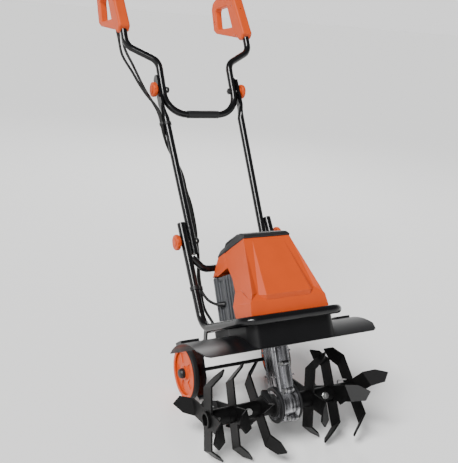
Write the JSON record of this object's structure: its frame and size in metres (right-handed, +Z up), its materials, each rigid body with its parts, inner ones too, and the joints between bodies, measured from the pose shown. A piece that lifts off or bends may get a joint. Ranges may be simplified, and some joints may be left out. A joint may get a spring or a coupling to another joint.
{
  "type": "electric garden tiller",
  "caption": "Corded garden tiller: bent-tip tines under a black fender, geared leg, orange motor hood, rear transport wheels and a two-stage folding tube handle with D grips.",
  "frame": {"origin": "centre of the bounding box's bottom face, on the ground under the motor, with the machine standing on its tines and wheels; measured without the cables", "axes": "+Z up, -Y the front (tine end), +Y the rear (handle end), +X the machine's right side when seen from the front; every part is symmetric across X except the tines' phases, cables and switch"},
  "size_m": [0.4674, 1.0368, 1.0414],
  "materials": {
    "orange_plastic": "satin moulded orange",
    "sheet_black": "black paint on sheet",
    "housing_black": "moulded black, fine grain",
    "black_plastic": "moulded black",
    "grip_orange": "moulded orange grip, fine grain",
    "lever_black": "smooth moulded black",
    "motor_grey": "cast, matt grey",
    "steel_lamination": "varnished laminations",
    "zinc_steel": "zinc plated",
    "gear_steel": "machined and oiled",
    "leg_black": "die-cast alloy, smooth dark gloss",
    "tube_black": "gloss black paint on tube",
    "tine_black": "semi-gloss black paint, worn edges",
    "rubber": "matt",
    "tyre": "matt moulded",
    "cable_black": "smooth cable sheath"
  },
  "bodies": {
    "chassis": {"base_housing": "housing_black", "fender": "sheet_black", "motor_cover": "orange_plastic", "cover_cap": "black_plastic", "motor_housing": "motor_grey", "stator": "steel_lamination", "motor_bolts": "zinc_steel", "shaft_bearings": "zinc_steel", "tine_bearings": "zinc_steel", "shaft_seals": "rubber", "leg_left": "leg_black", "leg_right": "leg_black", "leg_bolts": "zinc_steel", "frame_tube": "tube_black", "cross_tube": "tube_black", "wheel_bracket_left": "tube_black", "wheel_bracket_right": "tube_black", "axle_rod": "tube_black", "axle_nuts": "zinc_steel", "cable_clip_lower": "black_plastic", "cable_gland": "black_plastic", "pivot_bolts_lower": "zinc_steel", "cables_lower": "cable_black"},
    "middle_handle": {"middle_tube_left": "tube_black", "middle_tube_right": "tube_black", "pivot_bolts_upper": "zinc_steel", "cable_clip_upper": "black_plastic", "cables_middle": "cable_black"},
    "upper_handle": {"handle_tube": "tube_black", "crossbar_sleeve": "black_plastic", "grip_left_outer": "grip_orange", "grip_left_inner": "grip_orange", "grip_right_outer": "grip_orange", "grip_right_inner": "grip_orange", "grip_screws": "zinc_steel", "switch_box": "black_plastic", "cable_relief": "rubber", "cables_top": "cable_black"},
    "switch_lever": {"switch_lever": "lever_black"},
    "lock_button": {"lock_button": "lever_black"},
    "knob_lower_left": {"knob_lower_left": "orange_plastic"},
    "knob_lower_right": {"knob_lower_right": "orange_plastic"},
    "knob_upper_left": {"knob_upper_left": "orange_plastic"},
    "knob_upper_right": {"knob_upper_right": "orange_plastic"},
    "wheel_left": {"wheel_hub_left": "orange_plastic", "tyre_left": "tyre"},
    "wheel_right": {"wheel_hub_right": "orange_plastic", "tyre_right": "tyre"},
    "tines": {"tine_shaft": "tine_black", "face_gear": "gear_steel", "inner_tines_left": "tine_black", "inner_tines_right": "tine_black", "outer_tines_left": "tine_black", "outer_tines_right": "tine_black", "hub_bolts": "zinc_steel", "hair_pins": "zinc_steel"},
    "drive_shaft": {"leg_shaft": "gear_steel", "drive_gear": "gear_steel"},
    "armature": {"armature": "steel_lamination", "motor_pinion": "gear_steel"}
  },
  "joints": [
    {"name": "tine_spin", "type": "hinge", "parent": "chassis", "child": "tines", "pos_m": [0, -0.40854, 0.10984], "axis": [1, 0, 0], "continuous": true},
    {"name": "leg_spin", "type": "hinge", "parent": "chassis", "child": "drive_shaft", "pos_m": [0, -0.35863, 0.19649], "axis": [0, 0.4991, 0.8665], "continuous": true},
    {"name": "armature_spin", "type": "hinge", "parent": "chassis", "child": "armature", "pos_m": [0, -0.25348, 0.25133], "axis": [0, 0.4991, 0.8665], "continuous": true},
    {"name": "wheel_left_spin", "type": "hinge", "parent": "chassis", "child": "wheel_left", "pos_m": [-0.1335, -0.15105, 0.07001], "axis": [1, 0, 0], "continuous": true},
    {"name": "wheel_right_spin", "type": "hinge", "parent": "chassis", "child": "wheel_right", "pos_m": [0.1335, -0.15105, 0.07001], "axis": [1, 0, 0], "continuous": true},
    {"name": "lower_fold", "type": "hinge", "parent": "chassis", "child": "middle_handle", "pos_m": [0, -0.06547, 0.39693], "axis": [1, 0, 0], "range_deg": [0, 100]},
    {"name": "upper_fold", "type": "hinge", "parent": "middle_handle", "child": "upper_handle", "pos_m": [0, 0.18644, 0.74114], "axis": [-1, 0, 0], "range_deg": [0, 150]},
    {"name": "knob_lower_left_turn", "type": "hinge", "parent": "chassis", "child": "knob_lower_left", "pos_m": [-0.145, -0.06547, 0.39693], "axis": [-1, 0, 0], "range_deg": [0, 720]},
    {"name": "knob_lower_right_turn", "type": "hinge", "parent": "chassis", "child": "knob_lower_right", "pos_m": [0.145, -0.06547, 0.39693], "axis": [1, 0, 0], "range_deg": [0, 720]},
    {"name": "knob_upper_left_turn", "type": "hinge", "parent": "middle_handle", "child": "knob_upper_left", "pos_m": [-0.13, 0.18644, 0.74114], "axis": [-1, 0, 0], "range_deg": [0, 720]},
    {"name": "knob_upper_right_turn", "type": "hinge", "parent": "middle_handle", "child": "knob_upper_right", "pos_m": [0.13, 0.18644, 0.74114], "axis": [1, 0, 0], "range_deg": [0, 720]},
    {"name": "lever_squeeze", "type": "hinge", "parent": "upper_handle", "child": "switch_lever", "pos_m": [-0.187, 0.39626, 0.96418], "axis": [1, 0, 0], "range_deg": [0, 7], "stiffness_Nm_per_rad": 1.5, "springref_deg": -5.73},
    {"name": "lock_press", "type": "slide", "parent": "upper_handle", "child": "lock_button", "axis": [0, -0.4991, -0.8665], "range_m": [0, 0.004], "stiffness_N_per_m": 400, "springref_m": -0.002}
  ],
  "couplings": [
    {"joint": "leg_spin", "follows": "tine_spin", "ratio": -5},
    {"joint": "armature_spin", "follows": "tine_spin", "ratio": 27.692}
  ]
}
